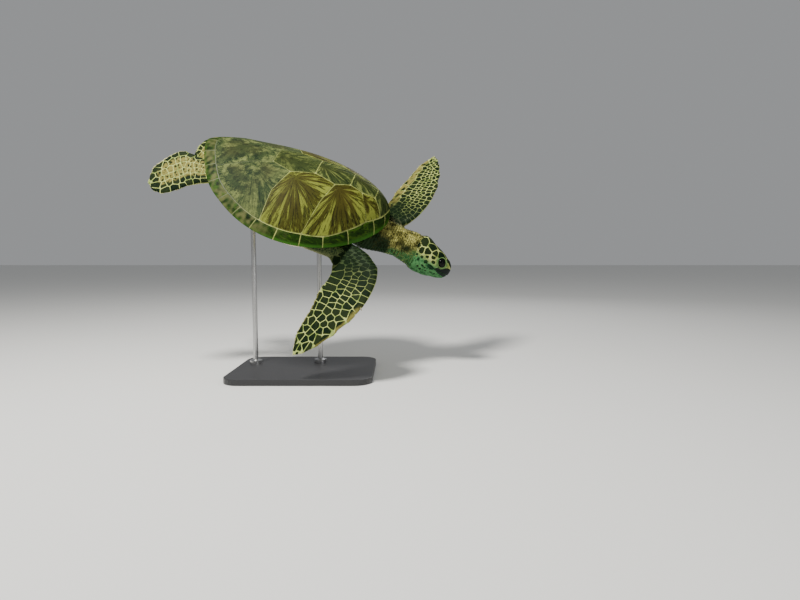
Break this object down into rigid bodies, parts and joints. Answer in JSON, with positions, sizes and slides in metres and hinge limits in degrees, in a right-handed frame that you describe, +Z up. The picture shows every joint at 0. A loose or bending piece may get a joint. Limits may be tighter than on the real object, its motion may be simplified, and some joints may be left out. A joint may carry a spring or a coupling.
{
  "type": "green sea turtle model",
  "caption": "Life-size still model of a green sea turtle, swimming nose down and banked, held by a flat display stand with short rods.",
  "frame": {"origin": "centre of the underside of the stand's base", "axes": "+Z up; +X towards the turtle's head; +Y towards the far side of the animal, whose back faces -Y"},
  "size_m": [0.9295, 0.4713, 0.7691],
  "materials": {
    "shell": "olive brown horny scutes with dark rays, half gloss",
    "belly": "smooth cream scutes",
    "skin": "scaled skin, dark scales with pale borders",
    "horn": "dark horn of the beak",
    "eye": "wet dark eye",
    "stand_steel": "satin rods of the stand",
    "stand_board": "dark satin base of the stand"
  },
  "bodies": {
    "root": {"carapace": "shell", "trunk": "skin", "plastron": "belly", "neck": "skin", "head": "skin", "jaw_lower": "horn", "beak_upper": "horn", "eye_left": "eye", "eye_right": "eye", "front_arm_right": "skin", "front_blade_right": "skin", "front_arm_left": "skin", "front_blade_left": "skin", "hind_leg_right": "skin", "hind_paddle_right": "skin", "hind_leg_left": "skin", "hind_paddle_left": "skin", "tail": "skin", "stand_base": "stand_board", "stand_rod_front": "stand_steel", "stand_rod_rear": "stand_steel"}
  },
  "joints": []
}
